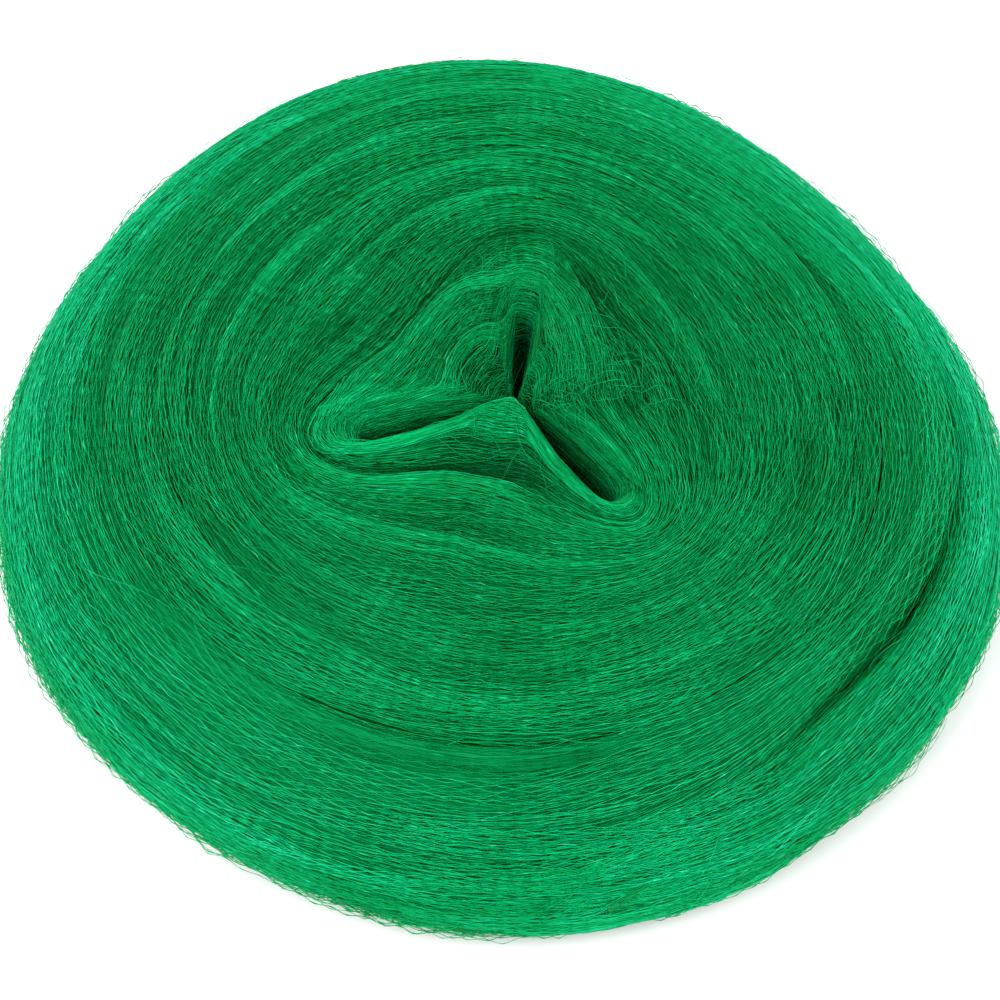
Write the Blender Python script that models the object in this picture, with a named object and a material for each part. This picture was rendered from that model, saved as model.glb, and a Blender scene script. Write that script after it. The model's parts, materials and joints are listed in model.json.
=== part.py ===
"""Coil of fishing net: one long web of diamond mesh, gathered lengthwise into a soft rope
and wound into a low domed coil round a three-pocket heart.

The rope is modelled lap by lap. Every lap is a loft of crowned sections that follows one spiral,
so neighbouring laps share a wall line and keep a thin clearance. The three inner laps telescope
upwards when the net is drawn from its centre, and the free end of the outer lap is a chain of
segments that swing away from the coil when the net is paid out.

Metres, +Z up, origin under the middle of the coil on its resting face.
"""

import math

import bpy

# Driving dimensions
COIL_RADIUS = 0.200
COIL_HEIGHT = 0.084
BULGE_HEIGHT = 0.023
FOOT_RATIO = 0.82
DOME_POWER = 2.28
# Plan outline: cosine and sine shares of the radius, by harmonic
OUTLINE_WAVES = {2: (-0.025, -0.020), 3: (0.001, -0.020), 4: (0.010, 0.001)}

# Heart: the three pockets that the innermost lap is folded round
HEART_X = 0.0062
HEART_Y = -0.0052
HEART_CORE = 0.0025
POCKETS = ((84.0, 0.036), (197.0, 0.058), (308.0, 0.056))  # direction in degrees, reach
POCKET_SPREAD = 8.0
POCKET_SPREAD_GROWTH = 95.0
POCKET_BLUNTNESS = 4.0  # exponent of a pocket's end at the hollow, easing to 2 outwards
ROUND_RADIUS = 0.040  # the same hollow's reach once the laps run round
ROUND_SHARE = 0.60
HEART_DIP = 0.007
HEART_DIP_SHARE = 0.25

# Spiral of laps
LAPS = 6
SEAM_ANGLE = -45.0
HEART_SHARE = 0.13
LAP_SHARE = 0.134
TAIL_TURNS = 0.100
TAIL_LANDING = 0.12
TAIL_PINCH = 0.085
TAIL_PINCH_TURN = 5.86
TAIL_PINCH_WIDTH = 0.09
TAIL_START = 5.60
TAIL_SEGMENTS = 6

# Section of a lap
WALL_GAP = 0.0010
CUT_GAP = 0.0010
FOOT_WIDTH = 0.003
SEAM_DIP = 0.0030
TAIL_FURROW = (5.94, 0.13, 0.015)  # turn, half width in turns, depth
HEART_FURROW = (1.20, 0.12, 0.011)
INNER_ROUND = 0.0080
CROWN_SHARES = (0.0, 0.10, 0.28, 0.50, 0.72, 0.90, 1.0)
RIM_STEPS = (0.30, 0.62, 1.0)
COARSE_STEP = 10.0
FINE_STEP = 3.0
FINE_REACH = 16.0

NET_GREEN = (0.004, 0.235, 0.075)


def wrap(degrees):
    """The same direction, between -180 and 180 degrees."""
    return (degrees + 180.0) % 360.0 - 180.0


def smooth(x):
    """Smooth step from 0 to 1."""
    x = min(max(x, 0.0), 1.0)
    return x * x * (3.0 - 2.0 * x)


def rim_radius(theta):
    """Distance from the heart's centre to the coil's outline, in direction theta (degrees)."""
    a = math.radians(theta)
    reach = COIL_RADIUS
    for _ in range(6):
        x = HEART_X + reach * math.cos(a)
        y = HEART_Y + reach * math.sin(a)
        b = math.atan2(y, x)
        share = 1.0
        for wave, (c, s) in OUTLINE_WAVES.items():
            share += c * math.cos(wave * b) + s * math.sin(wave * b)
        reach += COIL_RADIUS * share - math.hypot(x, y)
    return reach


def pocket_radius(theta, q):
    """The three-lobed hollow's outline. Its lobes widen and fade as q grows outwards."""
    spread = POCKET_SPREAD + POCKET_SPREAD_GROWTH * q
    power = 2.0 + (POCKET_BLUNTNESS - 2.0) * (1.0 - smooth(q / HEART_SHARE))
    lobes = 0.0
    for direction, reach in POCKETS:
        off = abs(wrap(theta - direction)) / spread
        lobes = max(lobes, reach * math.exp(-(off**power)))
    fade = smooth(q / ROUND_SHARE)
    return HEART_CORE + (1.0 - fade) * lobes + fade * ROUND_RADIUS


def spiral_radius(theta, q):
    """Distance from the heart's centre to the curve q: 0 is the hollow, 1 the outline."""
    return (1.0 - q) * pocket_radius(theta, q) + q * rim_radius(theta)


def wall_share(turn):
    """Curve q of the spiral wall between two laps, after this many turns."""
    if turn <= LAPS:
        pinch = math.exp(-(((turn - TAIL_PINCH_TURN) / TAIL_PINCH_WIDTH) ** 2))
        return HEART_SHARE + LAP_SHARE * (turn - 1.0) + TAIL_PINCH * pinch
    inner = wall_share(float(LAPS))
    return inner + (1.0 - inner) * smooth((turn - LAPS) / TAIL_LANDING)


def dome(radius_share):
    """Height of the coil's smooth dome above a point this far out."""
    flank = max(0.0, 1.0 - radius_share**DOME_POWER) ** (1.0 / DOME_POWER)
    return BULGE_HEIGHT + (COIL_HEIGHT - BULGE_HEIGHT) * flank


def top_height(q, theta):
    """The dome less the shallow dip over the heart."""
    share = spiral_radius(theta, q) / rim_radius(theta)
    return dome(min(share, 1.0)) - HEART_DIP * math.exp(-((q / HEART_DIP_SHARE) ** 2))


def seam_dip(turn):
    """Depth of the furrow over a wall. It deepens along the loose tail and before the heart."""
    dip = SEAM_DIP
    for middle, half_width, depth in (TAIL_FURROW, HEART_FURROW):
        dip += (depth - SEAM_DIP) * math.exp(-(((turn - middle) / half_width) ** 2))
    return dip


def station_angles():
    """Degrees clockwise from the seam, closer together beside the pockets."""
    angles = [0.0]
    while angles[-1] < 360.0 - 1e-6:
        here = SEAM_ANGLE - angles[-1]
        near = min(abs(wrap(here - direction)) for direction, _ in POCKETS)
        step = FINE_STEP if near < FINE_REACH else COARSE_STEP
        angles.append(min(angles[-1] + step, 360.0))
    return angles


def point(theta, radius, height):
    a = math.radians(theta)
    return (HEART_X + radius * math.cos(a), HEART_Y + radius * math.sin(a), height)


def section(turn, cut_shift, innermost):
    """Closed outline of the rope at one station, from the foot of its inner wall round its top."""
    theta = SEAM_ANGLE - 360.0 * turn
    q_in = 0.0 if innermost else wall_share(turn)
    q_out = wall_share(turn + 1.0)
    inner = spiral_radius(theta, q_in) + (0.0 if innermost else WALL_GAP / 2)
    outer = spiral_radius(theta, q_out) - (WALL_GAP / 2 if q_out < 1.0 else 0.0)
    dip_in = INNER_ROUND if innermost else seam_dip(turn)
    dip_out = seam_dip(turn + 1.0)
    theta += math.degrees(cut_shift / (0.5 * (inner + outer)))
    rest = flank(theta, inner, outer)
    outline = [point(theta, inner, rest[-1][2])]
    for share in CROWN_SHARES:
        q = q_in + (q_out - q_in) * share
        radius = inner + (outer - inner) * share
        height = top_height(q, theta)
        height -= dip_in * max(0.0, 1.0 - share / 0.5) ** 3
        height -= dip_out * max(0.0, 1.0 - (1.0 - share) / 0.5) ** 3 * (q_out < 1.0)
        outline.append(point(theta, radius, height))
    return outline + rest


def flank(theta, inner, outer):
    """Outer side below the top edge: the bulging rim's underside, or a straight wall."""
    rim = rim_radius(theta)
    foot = rim * FOOT_RATIO
    last = math.acos(min(max((inner + FOOT_WIDTH - foot) / (rim - foot), 0.0), 1.0))
    points = []
    for step in RIM_STEPS:
        turned = step * last
        radius = foot + (rim - foot) * math.cos(turned)
        height = BULGE_HEIGHT * (1.0 - math.sin(turned))
        points.append(point(theta, min(radius, outer), height))
    return points


def loft(name, turns, origin, shade):
    """One closed body through the sections at these turns."""
    last = len(turns) - 1
    rings = []
    for i, turn in enumerate(turns):
        shift = CUT_GAP / 2 * ((i == last) - (i == 0))
        rings.append(section(turn, shift, turns[0] < 1.0))
    width = len(rings[0])
    points = [(x - origin[0], y - origin[1], z) for ring in rings for x, y, z in ring]
    faces = []
    for i in range(last):
        for j in range(width):
            k = (j + 1) % width
            a, b = i * width, (i + 1) * width
            faces.append((a + j, b + j, b + k, a + k))
    faces.append(tuple(range(width)))
    faces.append(tuple(reversed(range(last * width, (last + 1) * width))))
    mesh = bpy.data.meshes.new(name)
    mesh.from_pydata(points, [], faces)
    mesh.shade_smooth()
    mesh.set_sharp_from_angle(angle=math.radians(40.0))
    mesh.materials.append(net_material(name, shade))
    return bpy.data.objects.new(name, mesh)


def net_material(name, shade):
    """Green nylon, with each piece a little lighter or darker than the next."""
    material = bpy.data.materials.new(name)
    material.use_nodes = True
    shader = material.node_tree.nodes["Principled BSDF"]
    colour = [channel * shade for channel in NET_GREEN]
    shader.inputs["Base Color"].default_value = (*colour, 1.0)
    shader.inputs["Roughness"].default_value = 0.45
    shader.inputs["Metallic"].default_value = 0.0
    material.diffuse_color = (*colour, 1.0)
    return material


def turns_between(start, end):
    """Stations from one turn to another, with both ends included."""
    marks = [
        lap + angle / 360.0
        for lap in range(int(start), int(end) + 1)
        for angle in station_angles()[:-1]
    ]
    clear = FINE_STEP / 360.0 / 4.0
    inside = [turn for turn in marks if start + clear < turn < end - clear]
    return [start, *inside, end]


def clear_scene():
    for item in list(bpy.data.objects):
        bpy.data.objects.remove(item)


def add_lap(collection, name, start, end, shade):
    lap = loft(name, turns_between(start, end), (0.0, 0.0), shade)
    collection.objects.link(lap)


def add_tail(collection):
    """Free end of the outer lap: each segment hangs on the outer edge of the one before it."""
    names = ("tail_root", "tail_second", "tail_third", "tail_fourth", "tail_fifth", "tail_tip")
    length = (LAPS + TAIL_TURNS - TAIL_START) / TAIL_SEGMENTS
    parent = None
    parent_pivot = (0.0, 0.0)
    for i, name in enumerate(names):
        start = TAIL_START + i * length
        theta = SEAM_ANGLE - 360.0 * start
        pivot = point(theta, rim_radius(theta), 0.0)
        segment = loft(name, turns_between(start, start + length), pivot, 1.1 - 0.05 * (i % 2))
        segment.parent = parent
        segment.location = (pivot[0] - parent_pivot[0], pivot[1] - parent_pivot[1], 0.0)
        collection.objects.link(segment)
        parent = segment
        parent_pivot = pivot


def centre(collection):
    """Moves the whole coil so that the origin lies under the middle of its box."""
    bpy.context.view_layer.update()
    corners = [item.matrix_world @ v.co for item in collection.objects for v in item.data.vertices]
    middle = [(min(c[i] for c in corners) + max(c[i] for c in corners)) / 2 for i in (0, 1)]
    for item in collection.objects:
        if item.parent is None:
            item.location.x -= middle[0]
            item.location.y -= middle[1]


def build():
    clear_scene()
    collection = bpy.data.collections.new("cast_net")
    bpy.context.scene.collection.children.link(collection)
    add_lap(collection, "heart_turn", 0.0, 1.0, 0.80)
    add_lap(collection, "second_turn", 1.0, 2.0, 0.90)
    add_lap(collection, "third_turn", 2.0, 3.0, 0.84)
    add_lap(collection, "fourth_turn", 3.0, 4.0, 0.94)
    add_lap(collection, "fifth_turn", 4.0, 5.0, 0.88)
    add_lap(collection, "outer_turn", 5.0, TAIL_START, 1.0)
    add_tail(collection)
    centre(collection)
    bpy.context.view_layer.update()


build()
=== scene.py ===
"""Looks of the net coil: every lap is a rope of gathered diamond mesh, built as real filaments
over a ribbed core. Metres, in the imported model's frame."""

import json
import math

import bpy
import numpy as np
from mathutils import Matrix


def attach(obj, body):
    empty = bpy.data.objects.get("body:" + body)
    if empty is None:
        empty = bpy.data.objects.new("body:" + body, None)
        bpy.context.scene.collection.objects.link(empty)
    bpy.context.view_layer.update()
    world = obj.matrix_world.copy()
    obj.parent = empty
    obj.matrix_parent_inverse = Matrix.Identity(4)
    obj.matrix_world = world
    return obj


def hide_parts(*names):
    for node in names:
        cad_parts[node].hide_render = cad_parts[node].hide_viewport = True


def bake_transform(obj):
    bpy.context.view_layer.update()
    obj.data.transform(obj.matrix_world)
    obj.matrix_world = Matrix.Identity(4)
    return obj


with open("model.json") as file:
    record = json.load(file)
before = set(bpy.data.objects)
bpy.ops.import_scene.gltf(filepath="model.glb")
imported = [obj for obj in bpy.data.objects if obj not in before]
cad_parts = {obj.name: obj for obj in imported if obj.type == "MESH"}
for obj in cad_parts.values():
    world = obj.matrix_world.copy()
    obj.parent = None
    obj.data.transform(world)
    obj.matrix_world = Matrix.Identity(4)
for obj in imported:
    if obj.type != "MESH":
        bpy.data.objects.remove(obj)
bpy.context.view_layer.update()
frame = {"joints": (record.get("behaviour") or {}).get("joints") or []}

# The coil's shape law: the CAD part's spiral, with the visual's own tail furrow, seam dip
# and pocket slopes
COIL_RADIUS = 0.200
COIL_HEIGHT = 0.084
BULGE_HEIGHT = 0.023
FOOT_RATIO = 0.82
DOME_POWER = 2.28
OUTLINE_WAVES = {2: (-0.025, -0.020), 3: (0.001, -0.020), 4: (0.010, 0.001)}
HEART_X = 0.0062
HEART_Y = -0.0052
HEART_CORE = 0.0025
POCKETS = ((84.0, 0.036), (197.0, 0.058), (308.0, 0.056))
POCKET_SPREAD = 8.0
POCKET_SPREAD_GROWTH = 95.0
POCKET_BLUNTNESS = 4.0
ROUND_RADIUS = 0.040
ROUND_SHARE = 0.60
HEART_DIP = 0.007
HEART_DIP_SHARE = 0.25
LAPS = 6
SEAM_ANGLE = -45.0
HEART_SHARE = 0.13
LAP_SHARE = 0.134
TAIL_TURNS = 0.100
TAIL_LANDING = 0.12
TAIL_PINCH = 0.085
TAIL_PINCH_TURN = 5.86
TAIL_PINCH_WIDTH = 0.09
TAIL_START = 5.60
TAIL_FURROW = (5.955, 0.080, 0.016)  # turn, half width in turns, depth
HEART_FURROW = (1.20, 0.12, 0.011)
SEAM_DIP = 0.0011
HEART_SLOPE = (0.020, 0.95)  # fall towards the pockets: depth, and share of the first lap
POCKET_END_REACH = 0.50  # that share beyond a pocket's end
TONGUE_SLOPE = (0.007, 0.35)  # the same on the front tongue, which stands up to its edge
TONGUE_ANGLE = 252.0
TONGUE_SPREAD = 46.0
POCKET_TAPER = 0.06  # the pockets close towards the floor
TAIL_NAMES = ("tail_root", "tail_second", "tail_third", "tail_fourth", "tail_fifth", "tail_tip")
TAIL_STEP = (LAPS + TAIL_TURNS - TAIL_START) / len(TAIL_NAMES)

# The net
CELL = 0.0118  # one drawn-out mesh, knot to knot along the rope
FILAMENT = 0.00014  # radius
KNOT = 1.8  # a knot's thickness, in filaments
STRANDS = 9  # filaments in one gathered ribbon
CORE_DEPTH = 0.0023  # of the core under the skin where the net is seen
CLOSED_CORE_DEPTH = 0.0014  # and where a wall rests against the next lap
RIM_CORE_DEPTH = 0.0042  # the rim is loose enough for light to pass
SIDES = 3  # of a filament's tube
LAYER_PITCH_FILL = 0.80  # ribbons overlap their neighbours by the rest
TOP_LAYERS = ((0.0003, 0.00130), (0.0011, 0.00120), (0.0018, 0.00115))  # depth, filament pitch
RIM_LAYERS = ((0.0001, 0.00145), (0.0013, 0.00130), (0.0027, 0.00115))
TAIL_PITCH = 0.82  # the loose end's pitches, against the rim's
WALL_PITCH = 0.0014
WALL_DEPTH = 0.0001
WALL_DROP = 0.045  # how far down a lap's wall the net goes
BRIDGE = 0.10  # turns on either side of a seam that a bridging piece spans
SEAM_OVERLAP = 0.02  # turns that a chart goes on past the pieces made on it
OUTER_LAP = 5.0  # the turn where the outermost lap starts
BODY_CUT = 0.4  # tail steps before the first hinge where the coil's own part ends
HINGE_SPAN = 0.36  # tail steps on either side of a hinge, given to bend() as its half span

# Colours of the filaments' ramp, which painted light and shade drive together with each filament's
# random tone: from painted shade deep in the coil to a painted glint
DARK = (0.0003, 0.070, 0.009)
DEEP = (0.0004, 0.178, 0.031)
MIDDLE = (0.0006, 0.305, 0.075)
BRIGHT = (0.002, 0.450, 0.170)
GLINT = (0.040, 0.740, 0.420)


# ---------------------------------------------------------------- numbers


def smooth(x):
    x = np.clip(x, 0.0, 1.0)
    return x * x * (3.0 - 2.0 * x)


def wrap(degrees):
    return (degrees + 180.0) % 360.0 - 180.0


def hashed(i, j, seed):
    """A fixed random number from -1 to 1 for each lattice point."""
    n = (i * 374761393 + j * 668265263 + seed * 1442695041) & 0xFFFFFFFF
    n = ((n ^ (n >> 13)) * 1274126177) & 0xFFFFFFFF
    n = ((n ^ (n >> 15)) * 2246822519) & 0xFFFFFFFF
    return ((n ^ (n >> 16)) & 0xFFFFFF) / float(0x7FFFFF) - 1.0


def noise(u, v, seed):
    """Smooth value noise from -1 to 1."""
    u, v = np.broadcast_arrays(np.asarray(u, float), np.asarray(v, float))
    i = np.floor(u).astype(np.int64)
    j = np.floor(v).astype(np.int64)
    a = smooth(u - i)
    b = smooth(v - j)
    low = hashed(i, j, seed) * (1 - a) + hashed(i + 1, j, seed) * a
    high = hashed(i, j + 1, seed) * (1 - a) + hashed(i + 1, j + 1, seed) * a
    return low * (1 - b) + high * b


# ---------------------------------------------------------------- shape law


def rim_table():
    theta = np.radians(np.arange(0.0, 360.0, 0.5))
    reach = np.full(theta.shape, COIL_RADIUS)
    for _ in range(8):
        x = HEART_X + reach * np.cos(theta)
        y = HEART_Y + reach * np.sin(theta)
        b = np.arctan2(y, x)
        share = np.ones_like(b)
        for wave, (c, s) in OUTLINE_WAVES.items():
            share += c * np.cos(wave * b) + s * np.sin(wave * b)
        reach += COIL_RADIUS * share - np.hypot(x, y)
    return reach


RIM = rim_table()


def rim_radius(theta):
    return np.interp(np.mod(theta, 360.0), np.arange(0.0, 360.5, 0.5), np.append(RIM, RIM[0]))


def pocket_radius(theta, q):
    spread = POCKET_SPREAD + POCKET_SPREAD_GROWTH * q
    power = 2.0 + (POCKET_BLUNTNESS - 2.0) * (1.0 - smooth(q / HEART_SHARE))
    lobes = np.zeros(np.broadcast(theta, q).shape)
    for direction, reach in POCKETS:
        off = np.abs(wrap(theta - direction)) / spread
        lobes = np.maximum(lobes, reach * np.exp(-(off**power)))
    fade = smooth(q / ROUND_SHARE)
    return HEART_CORE + (1.0 - fade) * lobes + fade * ROUND_RADIUS


def spiral_radius(theta, q):
    return (1.0 - q) * pocket_radius(theta, q) + q * rim_radius(theta)


def wall_share(turn):
    turn = np.asarray(turn, float)
    pinch = np.exp(-(((turn - TAIL_PINCH_TURN) / TAIL_PINCH_WIDTH) ** 2))
    early = HEART_SHARE + LAP_SHARE * (turn - 1.0) + TAIL_PINCH * pinch
    end_pinch = math.exp(-(((LAPS - TAIL_PINCH_TURN) / TAIL_PINCH_WIDTH) ** 2))
    end = HEART_SHARE + LAP_SHARE * (LAPS - 1.0) + TAIL_PINCH * end_pinch
    late = end + (1.0 - end) * smooth((turn - LAPS) / TAIL_LANDING)
    return np.where(turn <= LAPS, early, late)


def dome(share):
    flank = np.maximum(0.0, 1.0 - np.minimum(share, 1.0) ** DOME_POWER) ** (1.0 / DOME_POWER)
    return BULGE_HEIGHT + (COIL_HEIGHT - BULGE_HEIGHT) * flank


def top_height(q, theta):
    share = spiral_radius(theta, q) / rim_radius(theta)
    return dome(share) - HEART_DIP * np.exp(-((q / HEART_DIP_SHARE) ** 2))


def seam_dip(turn):
    dip = np.full(np.shape(turn), SEAM_DIP)
    for middle, half_width, depth in (TAIL_FURROW, HEART_FURROW):
        dip += (depth - SEAM_DIP) * np.exp(-(((turn - middle) / half_width) ** 2))
    return dip


def frame_shift():
    """How far the CAD part was moved to centre it, read from the tail's first hinge."""
    hinge = next(j for j in frame["joints"] if j["child"] == TAIL_NAMES[0])["pos_m"]
    theta = SEAM_ANGLE - 360.0 * TAIL_START
    a = math.radians(theta)
    reach = float(rim_radius(theta))
    x = HEART_X + reach * math.cos(a)
    y = HEART_Y + reach * math.sin(a)
    return hinge[0] - x, hinge[1] - y


SHIFT_X, SHIFT_Y = frame_shift()


# ---------------------------------------------------------------- chart of the rope's skin


class Chart:
    """The rope's skin: turn runs along it, and across (metres) runs from the inner wall's foot,
    over the crowned top, down the outer side to its foot."""

    COLUMNS = 200

    def __init__(self, start, end, innermost=False, merged=False, closing=False):
        """An innermost chart starts at the pockets; a merged one spans the two outermost laps; a
        closing one stops at the rope's own inner wall."""
        self.start = start
        self.innermost = innermost
        self.rate = 720.0
        self.turns = np.linspace(start, end, int(round((end - start) * self.rate)) + 1)
        theta = SEAM_ANGLE - 360.0 * self.turns
        first = self.turns - 1.0 if merged else self.turns
        q_in = np.zeros_like(self.turns) if innermost else wall_share(first)
        last = self.turns if closing else self.turns + 1.0
        q_out = wall_share(last)
        tongue = np.exp(-((wrap(theta - TONGUE_ANGLE) / TONGUE_SPREAD) ** 4))
        heart_dip = HEART_SLOPE[0] + (TONGUE_SLOPE[0] - HEART_SLOPE[0]) * tongue
        heart_reach = HEART_SLOPE[1] + (TONGUE_SLOPE[1] - HEART_SLOPE[1]) * tongue
        for direction, _ in POCKETS:
            near = np.exp(-((wrap(theta - direction) / 20.0) ** 2))
            heart_reach = heart_reach + (np.minimum(POCKET_END_REACH, heart_reach) - heart_reach) * near
        if innermost and not closing:
            narrowing = wall_share(self.turns) / q_out
            heart_reach = heart_reach * (1.0 + (narrowing - 1.0) * smooth((self.turns - 0.55) / 0.35))
        self.crest = heart_reach * 0.85
        self.dip_inside = heart_dip if innermost else seam_dip(first)
        self.dip_reach = heart_reach if innermost else np.full(self.turns.shape, 0.5)
        self.dip_outside = seam_dip(last)
        falls = zip(theta, q_in, q_out, self.dip_inside, self.dip_reach, self.dip_outside)
        rows = [self.outline(*row) for row in falls]
        self.radius = np.array([row[0] for row in rows])
        self.height = np.array([row[1] for row in rows])
        self.girth = np.array([row[2] for row in rows])
        self.inner_edge = np.array([row[3] for row in rows])
        self.outer_edge = np.array([row[4] for row in rows])
        self.lanes = np.array([row[5] for row in rows])
        along_r = np.gradient(self.radius, axis=1)
        along_z = np.gradient(self.height, axis=1)
        size = np.maximum(np.hypot(along_r, along_z), 1e-9)
        self.normal_r = -along_z / size
        self.normal_z = along_r / size

    def outline(self, theta, q_in, q_out, dip_in, reach_in, dip_out):
        """One cross section, sampled evenly along its length."""
        inner = float(spiral_radius(theta, q_in))
        outer = float(spiral_radius(theta, q_out))
        rim = float(rim_radius(theta))
        foot = rim * FOOT_RATIO
        last = math.acos(min(max((inner + 0.003 - foot) / (rim - foot), 0.0), 1.0))
        share = np.linspace(0.0, 1.0, 61)
        q = q_in + (q_out - q_in) * share
        top = top_height(q, theta) - dip_in * np.maximum(0.0, 1.0 - share / reach_in) ** 2
        if q_out < 1.0:
            top -= dip_out * np.maximum(0.0, 1.0 - (1.0 - share) / 0.5) ** 3
        turned = np.linspace(0.0, last, 25)[1:]
        side_r = np.minimum(foot + (rim - foot) * np.cos(turned), outer)
        side_z = BULGE_HEIGHT * (1.0 - np.sin(turned))
        foot_in = inner * (POCKET_TAPER if self.innermost else 1.0)
        r = np.concatenate([[foot_in], spiral_radius(theta, q), side_r])
        z = np.concatenate([[side_z[-1]], top, side_z])
        step = np.concatenate([[0.0], np.cumsum(np.hypot(np.diff(r), np.diff(z)))])
        even = np.linspace(0.0, step[-1], self.COLUMNS)
        lanes = step[1:62]
        return np.interp(even, step, r), np.interp(even, step, z), step[-1], lanes[0], lanes[-1], lanes

    def rows(self, turn, values):
        return np.interp(turn, self.turns, values)

    def lane(self, turn, share):
        """Across the top along the flow: 0 is the inner edge and 1 the outer edge, and a lane in
        between keeps its place between the folds of the two walls."""
        row = np.clip((turn - self.start) * self.rate, 0, len(self.turns) - 1.001)
        column = np.clip(share, 0.0, 0.9999) * (self.lanes.shape[1] - 1)
        i = row.astype(int)
        j = np.floor(column).astype(int)
        a = row - i
        b = column - j
        low = self.lanes[i, j] * (1 - b) + self.lanes[i, j + 1] * b
        high = self.lanes[i + 1, j] * (1 - b) + self.lanes[i + 1, j + 1] * b
        beyond = 0.030 * (share - np.clip(share, 0.0, 1.0))
        return low * (1 - a) + high * a + beyond

    def shadow(self, turn, across):
        """How much darker the net lies in the furrow along either edge."""
        inside = np.maximum(across - self.rows(turn, self.inner_edge), 0.0) / 0.0050
        outside = np.maximum(self.rows(turn, self.outer_edge) - across, 0.0) / 0.0050
        dark = self.rows(turn, self.dip_inside) * np.exp(-(inside**2))
        dark = dark + self.rows(turn, self.dip_outside) * np.exp(-(outside**2))
        return 40.0 * np.clip(dark - 0.002, 0.0, 0.013)

    def bumps(self, turn, across):
        """The skin's relief, calm where a wall rests against the next lap."""
        inner = self.rows(turn, self.inner_edge)
        outer = self.rows(turn, self.outer_edge)
        free_outside = smooth((wall_share(turn + 1.0) - 0.9) / 0.08)
        from_inner = 1.0 if self.innermost else smooth((across - inner + 0.002) / 0.008)
        from_outer = np.maximum(smooth((outer - across + 0.002) / 0.008), free_outside)
        return relief(turn, across) * from_inner * from_outer

    def at(self, turn, across, lift):
        """World points and outward normals."""
        turn, across, lift = np.broadcast_arrays(turn, across, lift)
        row = np.clip((turn - self.start) * self.rate, 0, len(self.turns) - 1.001)
        column = across / self.rows(turn, self.girth) * (self.COLUMNS - 1)
        column = np.clip(column, 0, self.COLUMNS - 1.001)
        i = row.astype(int)
        j = column.astype(int)
        a = row - i
        b = column - j

        def read(grid):
            low = grid[i, j] * (1 - b) + grid[i, j + 1] * b
            high = grid[i + 1, j] * (1 - b) + grid[i + 1, j + 1] * b
            return low * (1 - a) + high * a

        nr = read(self.normal_r)
        nz = read(self.normal_z)
        r = read(self.radius) + nr * lift
        z = np.maximum(read(self.height) + nz * lift, 0.0004)
        angle = np.radians(SEAM_ANGLE - 360.0 * turn)
        x = HEART_X + SHIFT_X + r * np.cos(angle)
        y = HEART_Y + SHIFT_Y + r * np.sin(angle)
        points = np.stack([x, y, z], axis=-1)
        normals = np.stack([nr * np.cos(angle), nr * np.sin(angle), nz], axis=-1)
        return points, normals

    def paced(self, across_share, start, end, pace):
        """Turns from start to end, evenly spaced in metres along the line at this share of the girth."""
        dense = np.linspace(start, end, max(int((end - start) * 720), 8))
        points, _ = self.at(dense, across_share * self.rows(dense, self.girth), 0.0)
        run = np.concatenate([[0.0], np.cumsum(np.linalg.norm(np.diff(points, axis=0), axis=1))])
        count = max(int(run[-1] / pace), 4)
        return np.interp(np.arange(count + 1) * pace, run, dense)


def relief(turn, across, seed=5):
    """Long soft ridges where the gathered web bunches, in metres."""
    run = turn * 0.9
    fine = noise(run / 0.055, across / 0.0050, seed)
    broad = noise(run / 0.110, across / 0.0120, seed + 1)
    return 0.0008 * fine + 0.0014 * broad


# ---------------------------------------------------------------- meshes


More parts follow.
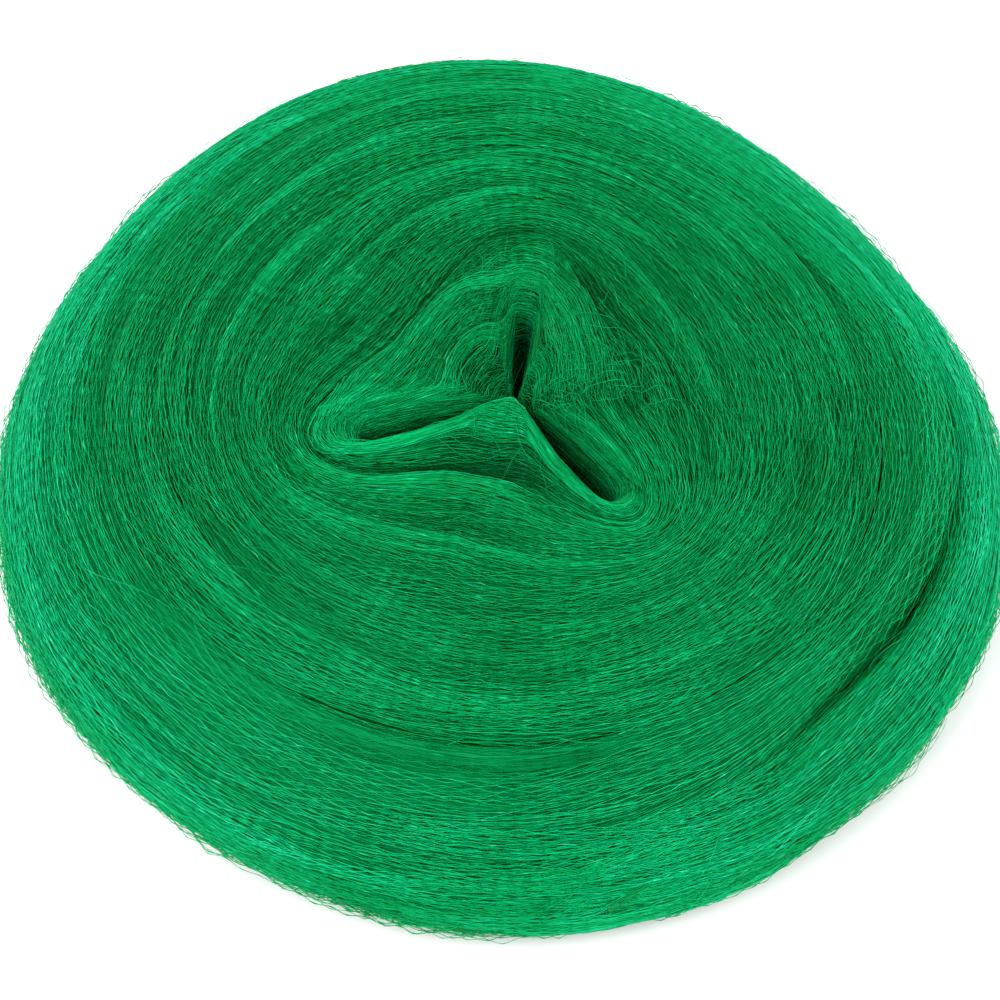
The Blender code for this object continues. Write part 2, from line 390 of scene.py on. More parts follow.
class Filaments:
    """Collects filaments as thin closed tubes and makes one mesh of them."""

    def __init__(self):
        self.points = []
        self.quads = []
        self.caps = []
        self.uv_quads = []
        self.uv_caps = []
        self.tones = []
        self.lights = []
        self.count = 0
        self.rows = 0

    def add(self, points, normals, radius, tone, light):
        """points and normals: strands x samples x 3. radius, light: strands x samples.
        tone: strands."""
        n, m, _ = points.shape
        along = np.gradient(points, axis=1)
        along /= np.maximum(np.linalg.norm(along, axis=2, keepdims=True), 1e-9)
        side = np.cross(along, normals)
        side /= np.maximum(np.linalg.norm(side, axis=2, keepdims=True), 1e-9)
        up = np.cross(side, along)
        ring = []
        for k in range(SIDES):
            a = 2 * math.pi * k / SIDES + math.pi / 2
            ring.append(points + radius[..., None] * (math.cos(a) * side + math.sin(a) * up))
        ring = np.stack(ring, axis=2)
        self.points.append(ring.reshape(-1, 3))
        base = self.count + (np.arange(n)[:, None] * m + np.arange(m)[None, :]) * SIDES
        for k in range(SIDES):
            k2 = (k + 1) % SIDES
            a, b = base[:, :-1], base[:, 1:]
            self.quads.append(np.stack([a + k, a + k2, b + k2, b + k], axis=-1).reshape(-1, 4))
            self.uv_quads.append(self.quad_uv(n, m))
        first = base[:, 0]
        last = base[:, -1]
        self.caps.append(np.stack([first + 2, first + 1, first], axis=-1))
        self.caps.append(np.stack([last, last + 1, last + 2], axis=-1))
        row = self.rows + np.arange(n)
        for u in (0.0, 1.0):
            cap = np.stack([np.full((n, 3), u), row[:, None] + np.array([0.1, 0.5, 0.9])], axis=-1)
            self.uv_caps.append(cap)
        self.tones.append(np.repeat(tone, m * SIDES))
        self.lights.append(np.repeat(light.reshape(-1), SIDES))
        self.count += n * m * SIDES
        self.rows += n

    def quad_uv(self, n, m):
        u = np.linspace(0.0, 1.0, m)
        row = self.rows + np.arange(n)
        low, high = np.broadcast_arrays(u[None, :-1], u[None, 1:])
        low = np.repeat(low, n, axis=0)
        high = np.repeat(high, n, axis=0)
        bottom = np.repeat(row[:, None], m - 1, axis=1)
        top = bottom + 1.0
        corners = [(low, bottom), (low, top), (high, top), (high, bottom)]
        return np.stack([np.stack(c, axis=-1) for c in corners], axis=-2).reshape(-1, 4, 2)

    def build(self, name, material):
        points = np.concatenate(self.points)
        quads = np.concatenate(self.quads)
        caps = np.concatenate(self.caps)
        mesh = bpy.data.meshes.new(name)
        mesh.vertices.add(len(points))
        mesh.vertices.foreach_set("co", points.astype(np.float32).ravel())
        mesh.loops.add(quads.size + caps.size)
        corners = np.concatenate([quads.ravel(), caps.ravel()])
        mesh.loops.foreach_set("vertex_index", corners.astype(np.int32))
        mesh.polygons.add(len(quads) + len(caps))
        starts = np.concatenate([np.arange(len(quads)) * 4, quads.size + np.arange(len(caps)) * 3])
        mesh.polygons.foreach_set("loop_start", starts.astype(np.int32))
        mesh.update(calc_edges=True)
        quad_uv = np.concatenate(self.uv_quads).reshape(-1, 2)
        cap_uv = np.concatenate(self.uv_caps).reshape(-1, 2)
        uv = np.concatenate([quad_uv, cap_uv])
        uv[:, 1] /= self.rows
        layer = mesh.uv_layers.new(name="OFBake")
        layer.data.foreach_set("uv", uv.astype(np.float32).ravel())
        self.attribute(mesh, "tone", np.concatenate(self.tones))
        self.attribute(mesh, "light", np.concatenate(self.lights))
        mesh.shade_smooth()
        mesh.materials.append(material)
        return linked(name, mesh)

    @staticmethod
    def attribute(mesh, name, values):
        layer = mesh.attributes.new(name, "FLOAT", "POINT")
        layer.data.foreach_set("value", values.astype(np.float32))


def linked(name, mesh):
    item = bpy.data.objects.new(name, mesh)
    bpy.context.scene.collection.objects.link(item)
    return item


def skin_light(points, normals):
    """Painted light and shade for the filaments' colour, from 0 deep in the heart and the furrows to 1
    at the coil's thin bright edge: painted shade where the skin is sunk below the dome and towards the
    back, painted light on the rim at the sides and where it faces up.
    """
    x = points[..., 0] - SHIFT_X
    y = points[..., 1] - SHIFT_Y
    theta = np.degrees(np.arctan2(y - HEART_Y, x - HEART_X))
    share = np.hypot(x - HEART_X, y - HEART_Y) / rim_radius(theta)
    edge = smooth((share - 0.72) / 0.26)
    on_top = 1.0 - edge * smooth((share - 0.9) / 0.1)
    sunk = np.clip(dome(share) - points[..., 2] - 0.002, 0.0, 0.016) * on_top
    behind = np.maximum(np.sin(np.radians(theta)), 0.0)
    sides = 0.15 + 0.09 * behind + 0.98 * np.abs(np.cos(np.radians(theta)))
    back = 0.14 * behind * (1.0 - edge)
    rim = 0.58 * edge * sides * (0.6 + 0.4 * normals[..., 2])
    return 0.20 + 0.28 * share + rim - 19.0 * sunk - back


def ribbon(
    filaments,
    chart,
    rng,
    middle,
    start,
    end,
    pitch,
    depth,
    count=STRANDS,
    width=None,
    dive=0.0,
    stand=0.0,
    opening=0.55,
    shade=0.0,
    glint=0.010,
):
    """One gathered ribbon of mesh along the rope. middle(turn) is its place across the skin; a
    standing ribbon is rooted there and rises from the skin instead of lying on it."""
    cell = CELL * rng.uniform(0.85, 1.2)
    per_cell = 8 if stand else 4
    reach = np.array([start, (start + end) / 2, end])
    share = float(np.mean(middle(reach) / chart.rows(reach, chart.girth)))
    turn = chart.paced(share, start, end, cell / per_cell)
    m = len(turn)
    s = np.arange(m) * cell / per_cell
    seed = int(rng.integers(1 << 20))
    k = np.arange(m) + int(rng.integers(4))
    i = np.arange(count)[:, None] - (0.0 if stand else (count - 1) / 2)
    sign = np.where(np.arange(count) % 2 == 0, 1.0, -1.0)[:, None]

    # the ribbon wanders, narrows and widens, and neighbours part between the knots they share
    drift = 0.0021 * noise(s / 0.085, 0.5, seed) + 0.0009 * noise(s / 0.032, 0.5, seed + 1)
    spread = pitch * (1.0 + 0.38 * noise(s / 0.060, 0.5, seed + 2))
    if width:
        spread = spread * np.clip(width(turn), 0.25, 1.8)
    parted = np.clip(opening + 0.5 * noise(s / 0.045, i / 4, seed + 3), 0.08, 1.25)
    zig = np.cos(2.0 * np.pi * k / per_cell) + 0.12 * np.sin(2.0 * np.pi * k / per_cell)
    offset = i * spread + 0.5 * spread * sign * parted * zig
    offset = offset + 0.00040 * noise(s / 0.010, i * 7.3, seed + 4)
    offset = offset + 0.0007 * noise(s / 0.033, i * 3.7, seed + 9)
    if stand:
        offset = offset * np.sin(np.pi * np.linspace(0.0, 1.0, m)) ** 0.7
    across = middle(turn) + drift + (1.0 - stand) * offset

    # it tilts, its filaments ride over each other, and its ends dive under its neighbours
    tilt = 0.0009 * noise(s / 0.10, 0.5, seed + 5)
    lift = -depth + stand * offset + tilt * i / count * 2
    lift = lift + 0.00035 * noise(s / 0.014, i * 3.1, seed + 6)
    lift = lift + 0.0004 * noise(s / 0.05, i * 0.21, seed + 7)
    nearest = np.minimum(s, s[-1] - s)
    lift = lift - dive * (1.0 - smooth(nearest / 0.022))
    bumps = chart.bumps(turn, across)
    points, normals = chart.at(turn, across, lift + bumps)

    thick = FILAMENT * (1.0 + 0.22 * rng.standard_normal((count, 1)).clip(-2, 2))
    knots = np.where(k % (per_cell // 2) == 0, KNOT, 1.0)[None, :]
    streaks = 0.11 * noise(s / 0.016, i * 2.9, seed + 11)
    # skin_light's painted light and shade, lighter on the relief's ridges and darker in its hollows,
    # darker the deeper the ribbon lies and in the furrows' painted shadow, and a painted glint on a few
    # random samples; the ribbon's shade and its streaks shift its tone
    light = skin_light(points, normals) + shade + streaks + 45.0 * bumps
    light = light - 120.0 * depth - chart.shadow(turn, across)
    light = np.clip(light, -0.3, 1.0) + 0.8 * (rng.random(light.shape) < glint)
    filaments.add(points, normals, thick * knots, rng.random(count), light)


def strays(filaments, chart, rng, turns, shares, number, length, height, curl, swerve):
    """Single filaments that left the mesh: they wander over the skin and arch off it."""
    steps = 14
    for _ in range(number):
        reach = length * rng.uniform(0.4, 1.3)
        step = reach / steps
        heading = swerve * rng.uniform(-1.0, 1.0)
        heading = heading + np.cumsum(curl * noise(np.arange(steps) / 3.0, rng.random() * 99, 3))
        turn = rng.uniform(*turns)
        share = rng.uniform(*shares)
        low = float(chart.rows(turn, chart.inner_edge))
        high = float(chart.rows(turn, chart.outer_edge))
        across = low + (high - low) * share
        here, _ = chart.at(np.array([turn, turn + 0.002]), across, 0.0)
        speed = float(np.linalg.norm(here[1] - here[0])) / 0.002
        path_turn = turn + np.cumsum(step * np.cos(heading)) / speed
        path_across = across + np.cumsum(step * np.sin(heading))
        inside = (path_turn > chart.start) & (path_turn < chart.turns[-1]) & (path_across > 0.002)
        if not inside.all():
            continue
        arch = height * rng.uniform(0.3, 1.0) * np.sin(np.pi * np.linspace(0.0, 1.0, steps)) ** 0.8
        lift = arch + chart.bumps(path_turn, path_across) + 0.0002
        points, normals = chart.at(path_turn, path_across, lift)
        # painted light: a stray filament is drawn lighter than the skin it rises from
        light = np.clip(skin_light(points, normals) + 0.35, 0.3, 1.3)
        radius = np.full((1, steps), FILAMENT * 0.8)
        filaments.add(points[None], normals[None], radius, rng.random(1), light[None])


def core_depth(chart, turns, across, open_inside, open_outside):
    """How far the core lies under the skin: less where a wall rests against the next lap."""
    inner = chart.rows(turns, chart.inner_edge)[:, None]
    outer = chart.rows(turns, chart.outer_edge)[:, None]
    from_inner = 1.0 if open_inside else smooth((across - inner + 0.0008) / 0.0016)
    from_outer = smooth((outer - across + 0.0008) / 0.0016)
    open_depth = CORE_DEPTH
    if open_outside:
        uncovered = smooth((turns[:, None] - OUTER_LAP) / 0.10)
        from_outer = from_outer + (1.0 - from_outer) * uncovered
        rim = uncovered * smooth((across - inner) / 0.030)
        open_depth = CORE_DEPTH + (RIM_CORE_DEPTH - CORE_DEPTH) * rim
    return CLOSED_CORE_DEPTH + (open_depth - CLOSED_CORE_DEPTH) * from_inner * from_outer


def core(name, chart, start, end, material, open_inside=False, open_outside=False):
    """The lap's dark body under its filaments, its green partly its own colour and partly painted shade:
    a closed loft with long fine ridges.
    """
    turns = np.linspace(start, end, max(int((end - start) * 360), 6))
    share = np.linspace(0.0, 1.0, 72)
    girth = chart.rows(turns, chart.girth)[:, None]
    across = share[None, :] * girth
    ridges = 0.00035 * noise(turns[:, None] * 70.0, across / 0.0016, 31)
    depth = core_depth(chart, turns, across, open_inside, open_outside)
    points, _ = chart.at(turns[:, None], across, chart.bumps(turns[:, None], across) + ridges - depth)
    n, m, _ = points.shape
    index = np.arange(n * m).reshape(n, m)
    a, b = index[:-1, :], index[1:, :]
    following = np.roll(np.arange(m), -1)
    faces = np.stack([a, b, b[:, following], a[:, following]], axis=-1).reshape(-1, 4).tolist()
    mesh = bpy.data.meshes.new(name)
    ends = [index[0].tolist(), index[-1][::-1].tolist()]
    mesh.from_pydata(points.reshape(-1, 3).tolist(), [], faces + ends)
    core_uv(mesh, turns, across, n, m)
    mesh.shade_smooth()
    mesh.set_sharp_from_angle(angle=math.radians(50.0))
    mesh.materials.append(material)
    return linked(name, mesh)


def core_uv(mesh, turns, across, n, m):
    """Flow map in metres along and across the rope, so that the fibres follow it, and a second
    map that fills the unit square once, for baking."""
    index = np.zeros(len(mesh.loops), np.int32)
    mesh.loops.foreach_get("vertex_index", index)
    run = np.repeat(turns[:, None] * 0.9, m, axis=1)
    flow = np.stack([run, across], axis=-1).reshape(-1, 2)[index]
    mesh.uv_layers.new(name="flow").data.foreach_set("uv", flow.astype(np.float32).ravel())
    quads = index[: (n - 1) * m * 4].reshape(-1, 4)
    row = quads // m
    column = quads % m
    column = np.where((column == 0) & (column[:, :1] == m - 1), m, column)
    square = np.stack([row / (n - 1.0), column / float(m)], axis=-1).reshape(-1, 2)
    ends = np.zeros((len(index) - quads.size, 2))
    square = np.concatenate([square, ends])
    mesh.uv_layers.new(name="OFBake").data.foreach_set("uv", square.astype(np.float32).ravel())


# ---------------------------------------------------------------- materials


def node(tree, kind, **settings):
    made = tree.nodes.new(kind)
    for key, value in settings.items():
        setattr(made, key, value)
    return made


def ramp(tree, stops):
    made = tree.nodes.new("ShaderNodeValToRGB")
    elements = made.color_ramp.elements
    elements[0].position, elements[0].color = stops[0][0], (*stops[0][1], 1.0)
    elements[1].position, elements[1].color = stops[-1][0], (*stops[-1][1], 1.0)
    for position, colour in stops[1:-1]:
        elements.new(position).color = (*colour, 1.0)
    return made


def math_node(tree, operation, a, b, clamp=False):
    made = node(tree, "ShaderNodeMath", operation=operation, use_clamp=clamp)
    for socket, value in zip(made.inputs, (a, b)):
        if isinstance(value, float):
            socket.default_value = value
        else:
            tree.links.new(value, socket)
    return made.outputs[0]


def filament_material(name, deep, middle, bright):
    """Dyed nylon filament whose colour ramp follows painted light and shade from the light attribute:
    darker and greener where it lies deep, paler and bluer in the thin rim, up to painted glints; its
    tone and noise patches vary it at random.
    """
    material = bpy.data.materials.new(name)
    material.use_nodes = True
    tree = material.node_tree
    shader = tree.nodes["Principled BSDF"]
    light = node(tree, "ShaderNodeAttribute", attribute_name="light").outputs["Fac"]
    tone = node(tree, "ShaderNodeAttribute", attribute_name="tone").outputs["Fac"]
    place = node(tree, "ShaderNodeTexCoord").outputs["Object"]
    patches = node(tree, "ShaderNodeTexNoise")
    patches.inputs["Scale"].default_value = 38.0
    patches.inputs["Detail"].default_value = 3.0
    tree.links.new(place, patches.inputs["Vector"])
    mixed = math_node(tree, "MULTIPLY", tone, 0.44)
    drift = math_node(tree, "MULTIPLY", patches.outputs["Fac"], 0.36)
    level = math_node(tree, "ADD", light, mixed)
    level = math_node(tree, "ADD", level, drift)
    level = math_node(tree, "SUBTRACT", level, 0.40)
    level = math_node(tree, "MULTIPLY", level, 0.5)
    level = math_node(tree, "ADD", level, 0.12, clamp=True)
    colours = ramp(tree, [(0.0, DARK), (0.12, deep), (0.32, middle), (0.60, bright), (1.0, GLINT)])
    tree.links.new(level, colours.inputs["Fac"])
    tree.links.new(colours.outputs["Color"], shader.inputs["Base Color"])
    rough = math_node(tree, "MULTIPLY", tone, 0.20)
    rough = math_node(tree, "ADD", rough, 0.22)
    tree.links.new(rough, shader.inputs["Roughness"])
    shader.inputs["IOR"].default_value = 1.45
    shader.inputs["Specular IOR Level"].default_value = 0.42
    shader.inputs["Specular Tint"].default_value = (0.07, 1.0, 0.60, 1.0)
    return material


def core_material(name, dark, pale):
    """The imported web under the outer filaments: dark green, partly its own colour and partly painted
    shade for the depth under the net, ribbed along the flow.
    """
    material = bpy.data.materials.new(name)
    material.use_nodes = True
    tree = material.node_tree
    shader = tree.nodes["Principled BSDF"]
    flow = node(tree, "ShaderNodeUVMap", uv_map="flow").outputs["UV"]
    fibres = node(tree, "ShaderNodeTexNoise")
    stretch = node(tree, "ShaderNodeMapping")
    stretch.inputs["Scale"].default_value = (70.0, 1500.0, 1.0)
    fibres.inputs["Scale"].default_value = 1.0
    fibres.inputs["Detail"].default_value = 4.0
    tree.links.new(flow, stretch.inputs["Vector"])
    tree.links.new(stretch.outputs["Vector"], fibres.inputs["Vector"])
    colours = ramp(tree, [(0.38, dark), (0.68, pale)])
    tree.links.new(fibres.outputs["Fac"], colours.inputs["Fac"])
    tree.links.new(colours.outputs["Color"], shader.inputs["Base Color"])
    bump = node(tree, "ShaderNodeBump")
    bump.inputs["Strength"].default_value = 0.8
    bump.inputs["Distance"].default_value = 0.0006
    tree.links.new(fibres.outputs["Fac"], bump.inputs["Height"])
    tree.links.new(bump.outputs["Normal"], shader.inputs["Normal"])
    shader.inputs["Roughness"].default_value = 0.6
    shader.inputs["Specular IOR Level"].default_value = 0.2
    shader.inputs["Specular Tint"].default_value = (0.10, 1.0, 0.55, 1.0)
    return material


# ---------------------------------------------------------------- laps


def layer(filaments, chart, rng, start, end, line, pitch, depth, shade_bias=0.0, **more):
    """Ribbons side by side. line(share) gives, for a share from 0 to 1, a function of turn."""
    reach = np.linspace(start, end, 9)
    mean_width = float(np.mean(line(1.0)(reach) - line(0.0)(reach)))
    ribbons = max(int(round(mean_width / (pitch * STRANDS * LAYER_PITCH_FILL))), 1)
    for i in range(ribbons):
        share = (i + 0.5) / ribbons
        half = 0.5 / ribbons

        def width(turn, share=share, half=half):
            return (line(share + half)(turn) - line(share - half)(turn)) / (2 * half * mean_width)

        first = max(start - 0.012 * rng.random(), chart.start)
        last = min(end + 0.012 * rng.random(), chart.turns[-1])
        shade = shade_bias + 0.10 * rng.uniform(-1.0, 1.0)
        ribbon(
            filaments, chart, rng, line(share), first, last, pitch, depth,
            width=width, shade=shade, **more,
        )


def bundles(
    filaments,
    chart,
    rng,
    start,
    end,
    line,
    number,
    lengths=(0.05, 0.15),
    slope=0.09,
    shade=(-0.12, 0.22),
    proud=0.0,
):
    """Short ribbons lying over the others at a small angle, their ends tucked under."""
    for _ in range(number):
        share = rng.random()
        turn = rng.uniform(start, end)
        place = float(line(share)(np.array([turn]))[0])
        here, _ = chart.at(np.array([turn, turn + 0.002]), place, 0.0)
        speed = float(np.linalg.norm(here[1] - here[0])) / 0.002
        reach = rng.uniform(*lengths) / speed
        first = max(turn - reach / 2, start - 0.010, chart.start)
        last = min(turn + reach / 2, end + 0.010, chart.turns[-1])
        lean = slope * rng.uniform(-1.0, 1.0) * speed
        tint = rng.uniform(*shade)
        pitch = rng.uniform(0.0007, 0.0014)
        count = int(rng.integers(4, 10))
        depth = rng.uniform(-0.0008, 0.0004) - proud

        def middle(t, share=share, lean=lean, turn=turn):
            return line(share)(t) + lean * (t - turn)

        ribbon(
            filaments, chart, rng, middle, first, last, pitch, depth,
            count=count, dive=0.0022, opening=rng.uniform(0.25, 0.8), shade=tint, glint=0.02,
        )


def fringe(filaments, chart, rng, start, end, number):
    """Loose meshes that stand off the rim, so that the light shows through them."""
    for _ in range(number):
        turn = rng.uniform(start, end)
        reach = rng.uniform(0.030, 0.100) / (2 * math.pi * COIL_RADIUS)
        first = max(turn - reach / 2, start)
        last = min(turn + reach / 2, end)
        below = rng.uniform(-0.014, 0.012)
        count = int(rng.integers(2, 5))
        pitch = rng.uniform(0.0007, 0.0015)

        def middle(t, below=below):
            return chart.rows(t, chart.outer_edge) + below

        ribbon(
            filaments, chart, rng, middle, first, last, pitch, -0.0002,
            count=count, stand=1.0, opening=0.95, shade=-0.25, glint=0.01,
        )


def top_lines(chart, low_share, high_share):
    """Lanes along the crowned top between two shares of its width."""

    def line(share):
        lane_share = low_share + (high_share - low_share) * share
        return lambda turn: chart.lane(turn, lane_share)

    return line


def edge_lines(chart, inner_drop, outer_drop):
    """Lines from a place down the inner wall, over the top, to a place down the outer side; the
    drops are metres past the top's edges, negative to stop short of them."""

    def line(share):
        def place(turn):
            low = np.maximum(chart.rows(turn, chart.inner_edge) - inner_drop, 0.001)
            high = chart.rows(turn, chart.outer_edge) + outer_drop
            high = np.minimum(high, chart.rows(turn, chart.girth) - 0.001)
            return low + (high - low) * share

        return place

    return line


def wall_lines(chart, drop, outside):
    """Lines down one wall from the top's edge."""

    def line(share):
        def place(turn):
            if outside:
                edge = chart.rows(turn, chart.outer_edge)
                return np.minimum(edge + drop * share, chart.rows(turn, chart.girth) - 0.001)
            return np.maximum(chart.rows(turn, chart.inner_edge) - drop * (1.0 - share), 0.001)

        return place

    return line


def net_over(filaments, chart, rng, start, end, inner_drop=0.0, outer_drop=0.0):
    """All the filaments of one stretch of rope: its top, and its walls where they can be seen."""
    lanes = top_lines(chart, -0.02, 1.03)
    for depth, pitch in TOP_LAYERS:
        layer(filaments, chart, rng, start, end, lanes, pitch, depth, opening=0.68)
    number = max(int(44 * (end - start)), 4)
    bundles(filaments, chart, rng, start, end, top_lines(chart, 0.0, 1.0), number)
    number = max(int(66 * (end - start)), 5)
    strays(filaments, chart, rng, (start, end), (0.0, 1.0), number, 0.030, 0.0020, 0.10, 0.25)
    for drop, outside in ((inner_drop, False), (outer_drop, True)):
        if drop:
            wall = wall_lines(chart, drop, outside)
            layer(filaments, chart, rng, start, end, wall, WALL_PITCH, WALL_DEPTH)


def lap_pieces(
    name, body, chart, start, end, materials, seed, inner_drop=0.0, outer_drop=0.0, more=None
):
    """Core and filaments of one lap that moves as one body. more adds what only this lap has."""
    rng = np.random.default_rng(seed)
    made = core(name + "_core", chart, start, end, materials["core"], open_inside=chart.innermost)
    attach(made, body)
    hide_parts(name)
    filaments = Filaments()
    net_over(filaments, chart, rng, start, end, inner_drop, outer_drop)
    if more:
        more(filaments, chart, rng)
    net = filaments.build(name + "_net", materials["net"])
    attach(net, body)


def bridge(name, turn, materials, seed):
    """The rope across a seam between two laps: a core and its net, with their transforms baked."""
    rng = np.random.default_rng(seed)
    start = turn - BRIDGE
    end = turn + BRIDGE
    made = core(name + "_core", rope_chart, start, end, materials["core"])
    filaments = Filaments()
    net_over(filaments, rope_chart, rng, start, end, WALL_DROP, WALL_DROP)
    net = filaments.build(name + "_net", materials["net"])
    bend(made, net, turn, BRIDGE / 2)


def bend(made, net, turn, half_span):
    """Bakes the world transform into a core and its net. The rope's middle points half a span before and
    after this turn are worked out, but nothing uses them.
    """
    low = tuple(rope_middle(turn - half_span))
    high = tuple(rope_middle(turn + half_span))
    for piece in (made, net):
        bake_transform(piece)


def rope_middle(turn):
    """The point half way round the rope's skin at this turn."""
    half_girth = 0.5 * rope_chart.rows(turn, rope_chart.girth)
    points, _ = rope_chart.at(np.array([turn]), half_girth, 0.0)
    return points[0]


first_end = 1.0 - BRIDGE
heart_chart = Chart(0.0, 1.0 + SEAM_OVERLAP - BRIDGE, innermost=True)
rope_start = 1.0 - SEAM_OVERLAP - BRIDGE
closing_chart = Chart(rope_start, 1.0 + SEAM_OVERLAP, innermost=True, closing=True)
rope_chart = Chart(rope_start, LAPS + TAIL_TURNS)
front_chart = Chart(LAPS, LAPS + 0.45, merged=True)

# Lit and shaded copies of the core: darkest in the heart and palest at the rim, as painted shade and
# painted light; the three nets share one ramp.
heart_materials = {
    "core": core_material("heart_core", (0.0003, 0.030, 0.005), (0.0006, 0.110, 0.021)),
    "net": filament_material("heart_net", DEEP, MIDDLE, BRIGHT),
}
inner_materials = {
    "core": core_material("inner_core", (0.0004, 0.085, 0.014), (0.0008, 0.210, 0.044)),
    "net": filament_material("inner_net", DEEP, MIDDLE, BRIGHT),
}
rim_materials = {
    "core": core_material("rim_core", (0.0004, 0.150, 0.032), (0.0010, 0.300, 0.086)),
    "net": filament_material("rim_net", DEEP, MIDDLE, BRIGHT),
}


def heart_extras(filaments, chart, rng):
    """Snagged filaments curling up beside the pockets, and bundles along the folds' crests."""
    strays(filaments, chart, rng, (0.81, 0.98), (0.1, 0.9), 90, 0.018, 0.0040, 0.35, 1.3)
    strays(filaments, closing_chart, rng, (0.90, 0.98), (0.1, 0.9), 30, 0.014, 0.0040, 0.35, 1.3)
    strays(filaments, chart, rng, (0.0, 0.9), (0.0, 0.9), 90, 0.022, 0.0030, 0.25, 0.9)

    def crest_line(share):
        return lambda turn: chart.lane(turn, chart.rows(turn, chart.crest) + 0.60 * (share - 0.5))

    bundles(
        filaments, chart, rng, 0.0, first_end, crest_line, 58,
        slope=0.05, shade=(-0.08, 0.28), proud=0.0005,
    )
    net_over(filaments, closing_chart, rng, first_end, 1.0, WALL_DROP, WALL_DROP)


def heart_closing():
    """The heart's last stretch, inside the rope that leaves it."""
    material = heart_materials["core"]
    made = core("heart_closing_core", closing_chart, first_end, 1.0, material, open_inside=True)
    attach(made, "heart")


def uncovered_wall(filaments, chart, rng):
    """The wall that the loose end leaves bare when it peels away."""
    start = TAIL_START - 1.0 - TAIL_STEP
    wall = wall_lines(chart, 0.070, True)
    layer(filaments, chart, rng, start, OUTER_LAP, wall, 0.0013, WALL_DEPTH, shade_bias=-0.1)


def inner_laps():
    """The laps inside the outermost one, with a bridge where one lap slides against the next."""
    crossing = {"core": inner_materials["core"], "net": heart_materials["net"]}
    lap_pieces(
        "heart_turn", "heart", heart_chart, 0.0, first_end, heart_materials, 11,
        WALL_DROP, WALL_DROP, heart_extras,
    )
    heart_closing()
    bridge("heart_to_second", 1.0, crossing, 21)
    lap_pieces(
        "second_turn", "second_lap", rope_chart, 1.0 + BRIDGE, 2.0 - BRIDGE,
        inner_materials, 12, outer_drop=WALL_DROP,
    )
    bridge("second_to_third", 2.0, inner_materials, 22)
    lap_pieces(
        "third_turn", "third_lap", rope_chart, 2.0 + BRIDGE, 3.0 - BRIDGE,
        inner_materials, 13, outer_drop=WALL_DROP,
    )
    bridge("third_to_fourth", 3.0, inner_materials, 23)
    lap_pieces(
        "fourth_turn", "coil", rope_chart, 3.0 + BRIDGE, 4.0, inner_materials, 14
    )
    lap_pieces(
        "fifth_turn", "coil", rope_chart, 4.0, OUTER_LAP, inner_materials, 15,
        more=uncovered_wall,
    )


inner_laps()


def outer_lap():
    """The outermost lap up to the tail: net on its top, its bulging rim and its underside."""
    start = OUTER_LAP
    end = TAIL_START - BODY_CUT * TAIL_STEP
    material = rim_materials["core"]
    made = core("outer_turn_core", rope_chart, start, end, material, open_outside=True)
    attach(made, "coil")
    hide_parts("outer_turn")
    rng = np.random.default_rng(16)
    line = edge_lines(rope_chart, 0.0006, 0.040)
    for part, (depth, pitch) in enumerate(RIM_LAYERS):
        filaments = Filaments()
        layer(filaments, rope_chart, rng, start, end, line, pitch, depth, opening=0.42)
        if part == 1:
            bundles(filaments, rope_chart, rng, start, end, line, 60)
            turns = (start + 0.05, end)
            strays(filaments, rope_chart, rng, turns, (0.0, 1.2), 130, 0.036, 0.0030, 0.08, 0.14)
        if part == 2:
            fringe(filaments, rope_chart, rng, start + 0.10, end, 230)
        net = filaments.build(f"outer_turn_net_{part + 1}", rim_materials["net"])
        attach(net, "coil")


outer_lap()


def tail_pieces():
    """The loose end, cut at the middle of each length so that every piece spans one hinge."""
    rng = np.random.default_rng(17)
    cuts = [TAIL_START - BODY_CUT * TAIL_STEP]
    cuts += [TAIL_START + (i + 0.5) * TAIL_STEP for i in range(len(TAIL_NAMES))]
    for i, name in enumerate(TAIL_NAMES):
        hinge = TAIL_START + i * TAIL_STEP
        end = cuts[i + 1] if i + 1 < len(TAIL_NAMES) else LAPS + TAIL_TURNS
        start = cuts[i]
        material = rim_materials["core"]
        made = core(name + "_core", rope_chart, start, end, material, open_outside=True)
        filaments = Filaments()
        line = edge_lines(rope_chart, 0.030, 0.040)
        for depth, pitch in RIM_LAYERS:
            tight = TAIL_PITCH * pitch
            layer(filaments, rope_chart, rng, start, end, line, tight, depth, opening=0.38)
        bundles(filaments, rope_chart, rng, start, end, line, 10, lengths=(0.03, 0.08))
        strays(filaments, rope_chart, rng, (start, end), (0.0, 1.2), 14, 0.034, 0.0025, 0.08, 0.14)
        fringe(filaments, rope_chart, rng, start, end, 24)
        net = filaments.build(name + "_net", rim_materials["net"])
        bend(made, net, hinge, HINGE_SPAN * TAIL_STEP)
        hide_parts(name)


tail_pieces()


def tail_fan():
    """The free end's last meshes, spread over the coil's front."""
    rng = np.random.default_rng(18)
    filaments = Filaments()
    start = TAIL_START + (len(TAIL_NAMES) - 0.7) * TAIL_STEP

    def line(share):
        def place(turn):
            low = front_chart.lane(turn, 0.55)
            high = front_chart.rows(turn, front_chart.outer_edge) + 0.012
            return low + (high - low) * share

        return place

    bundles(
        filaments, front_chart, rng, start, LAPS + 0.16, line, 60,
        lengths=(0.05, 0.14), slope=0.05, shade=(-0.16, 0.08), proud=0.0003,
    )
    fan = filaments.build("tail_fan", rim_materials["net"])
    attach(fan, "tail_tip")


tail_fan()


# ---------------------------------------------------------------- studio


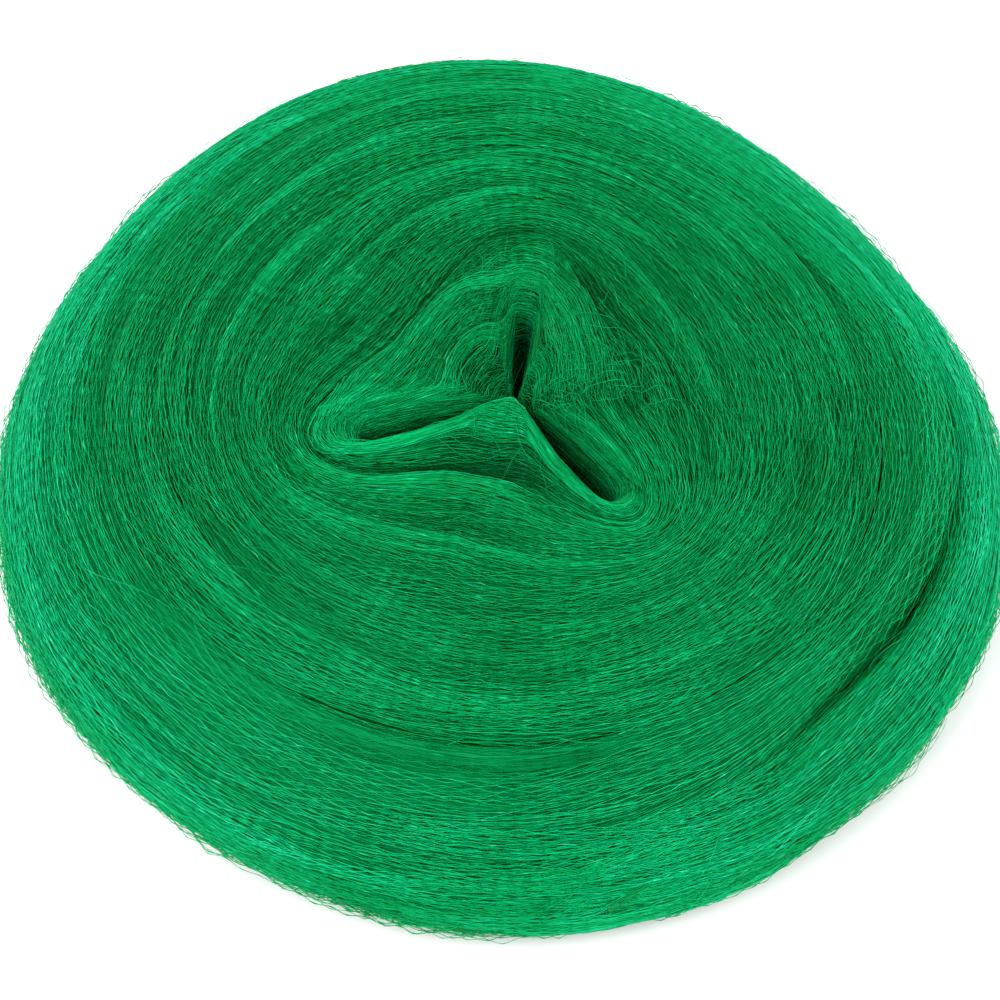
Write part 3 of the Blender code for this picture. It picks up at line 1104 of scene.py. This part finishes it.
def studio():
    """A pale floor and two soft lights aimed at the coil, under a white sky."""
    floor_mesh = bpy.data.meshes.new("floor")
    half = 15.0
    corners = [(-half, -half, 0), (half, -half, 0), (half, half, 0), (-half, half, 0)]
    floor_mesh.from_pydata(corners, [], [(0, 1, 2, 3)])
    material = bpy.data.materials.new("floor")
    material.use_nodes = True
    shader = material.node_tree.nodes["Principled BSDF"]
    shader.inputs["Base Color"].default_value = (0.93, 0.93, 0.93, 1.0)
    shader.inputs["Roughness"].default_value = 0.9
    floor_mesh.materials.append(material)
    floor = linked("floor", floor_mesh)
    world = bpy.data.worlds.new("studio")
    world.use_nodes = True
    world.node_tree.nodes["Background"].inputs["Color"].default_value = (1.0, 1.0, 1.0, 1.0)
    world.node_tree.nodes["Background"].inputs["Strength"].default_value = 1.0
    bpy.context.scene.world = world
    for name, place, size, power in (
        ("key", (-0.9, -0.7, 1.35), 1.1, 24.0),
        ("fill", (1.2, -0.6, 1.4), 1.4, 20.0),
    ):
        light = bpy.data.lights.new(name, "AREA")
        light.size = size
        light.energy = power
        item = bpy.data.objects.new(name, light)
        item.location = place
        bpy.context.scene.collection.objects.link(item)
        aim = bpy.data.objects.new(name + "_aim", None)
        bpy.context.scene.collection.objects.link(aim)
        track = item.constraints.new("TRACK_TO")
        track.target = aim
        track.track_axis = "TRACK_NEGATIVE_Z"
        track.up_axis = "UP_Y"
    bpy.context.scene.view_settings.view_transform = "Standard"


def camera():
    """The photograph's view: from the front, well above, with a long lens."""
    elevation = math.radians(54.0)
    distance = 5.0 * COIL_RADIUS
    data = bpy.data.cameras.new("camera")
    data.lens = 90.1
    data.shift_x = 0.0016
    data.shift_y = -0.0432
    data.clip_start = 0.01
    item = bpy.data.objects.new("camera", data)
    item.location = (
        SHIFT_X,
        SHIFT_Y - distance * math.cos(elevation),
        0.12 * COIL_RADIUS + distance * math.sin(elevation),
    )
    item.rotation_euler = (math.pi / 2 - elevation, 0.0, 0.0)
    bpy.context.scene.collection.objects.link(item)
    bpy.context.scene.camera = item


studio()
camera()
